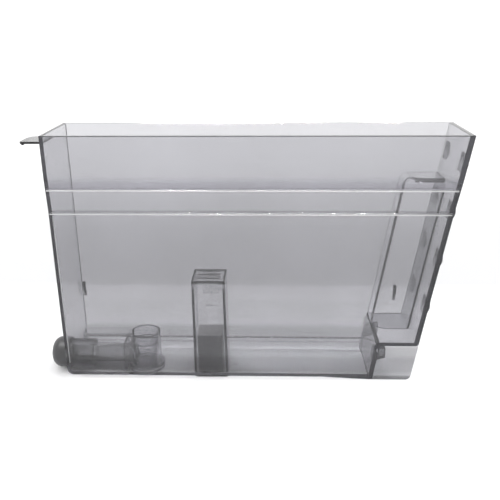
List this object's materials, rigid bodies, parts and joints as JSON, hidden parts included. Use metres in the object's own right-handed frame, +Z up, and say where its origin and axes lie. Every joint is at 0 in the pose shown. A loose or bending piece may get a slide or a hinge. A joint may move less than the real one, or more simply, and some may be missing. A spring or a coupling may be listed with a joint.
{
  "type": "dehumidifier water tank",
  "caption": "Clear smoke-grey removable water tank of a dehumidifier with drain well, port and screw cap, and a level float in a square guide.",
  "frame": {"origin": "on the standing plane, below the middle of the tank's overall box", "axes": "+X to the right and +Y to the back as seen from the front window, +Z up"},
  "size_m": [0.3776, 0.069, 0.2306],
  "materials": {
    "smoke_clear": "transparent smoke grey, polished",
    "smoke_fittings": "transparent smoke grey, darker where the walls stack up",
    "cap_plastic": "dark grey, satin",
    "seal_rubber": "matt black",
    "float_plastic": "dark grey, matt",
    "magnet": "sintered, dark"
  },
  "bodies": {
    "tank": {"front_window": "smoke_clear", "left_wall": "smoke_clear", "floor_pan": "smoke_clear", "step_wall": "smoke_clear", "raised_floor": "smoke_clear", "right_wall": "smoke_clear", "back_wall": "smoke_clear", "rear_ledge": "smoke_clear", "recess_shell": "smoke_clear", "guide_ramps": "smoke_clear", "finger_tab": "smoke_clear", "locating_wedges": "smoke_clear", "notch_blocks": "smoke_clear", "foot_pads": "smoke_clear", "drain_port": "smoke_fittings", "drain_pipe": "smoke_fittings", "drain_well": "smoke_fittings", "drain_baffle": "smoke_fittings", "float_guide": "smoke_fittings", "guide_cap": "smoke_fittings"},
    "seal": {"port_seal": "seal_rubber"},
    "drain_cap": {"drain_cap": "cap_plastic"},
    "float": {"level_float": "float_plastic", "float_magnet": "magnet", "float_lid": "float_plastic"}
  },
  "joints": [
    {"name": "float_rise", "type": "slide", "parent": "tank", "child": "float", "axis": [0, 0, 1], "range_m": [0, 0.045]},
    {"name": "cap_turn", "type": "hinge", "parent": "tank", "child": "seal", "pos_m": [-0.1712, -0.0115, 0.0158], "axis": [-1, 0, 0], "range_deg": [0, 720]},
    {"name": "cap_unscrew", "type": "slide", "parent": "seal", "child": "drain_cap", "axis": [-1, 0, 0], "range_m": [0, 0.00801]}
  ],
  "couplings": [
    {"joint": "cap_unscrew", "follows": "cap_turn", "m_per_rad": 0.00063662}
  ]
}
